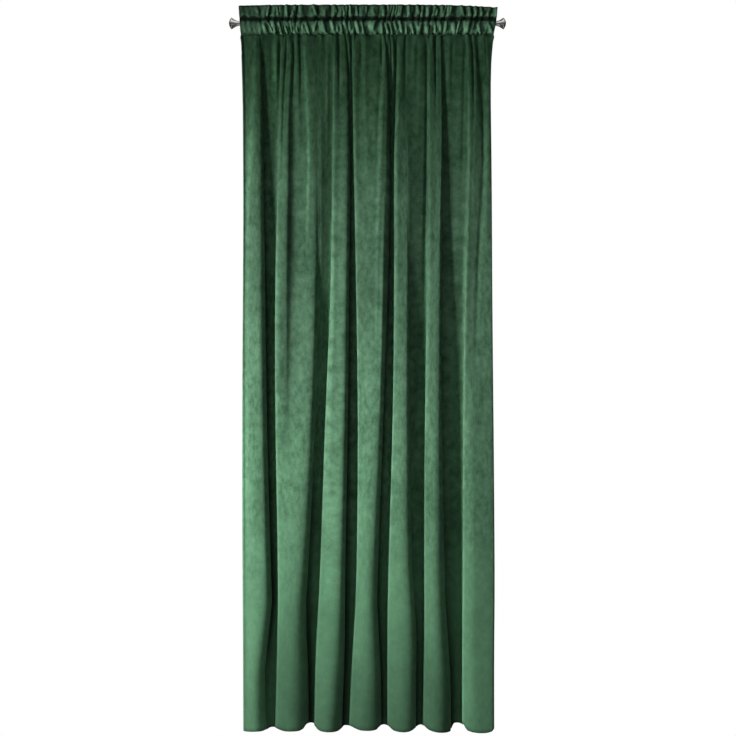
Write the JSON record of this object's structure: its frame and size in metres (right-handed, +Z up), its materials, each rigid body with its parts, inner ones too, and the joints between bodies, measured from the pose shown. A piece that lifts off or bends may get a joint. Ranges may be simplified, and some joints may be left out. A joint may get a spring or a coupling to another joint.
{
  "type": "rod pocket velvet curtain on a rod",
  "caption": "Velvet curtain panel hanging in soft uneven folds, gathered by a rod pocket under a ruffle heading on a slim round rod that ends in trumpet-shaped finials.",
  "frame": {"origin": "on the rod's axis, halfway along the rod", "axes": "+X along the rod, -Y towards the room, +Z up"},
  "size_m": [1.031, 0.0869, 2.6996],
  "materials": {
    "green_velvet": "short soft pile",
    "rod_metal": "satin nickel",
    "finial_metal": "satin nickel, smoother than the rod"
  },
  "bodies": {
    "root": {"curtain_panel": "green_velvet", "curtain_rod": "rod_metal", "finial_left": "finial_metal", "finial_right": "finial_metal"}
  },
  "joints": []
}
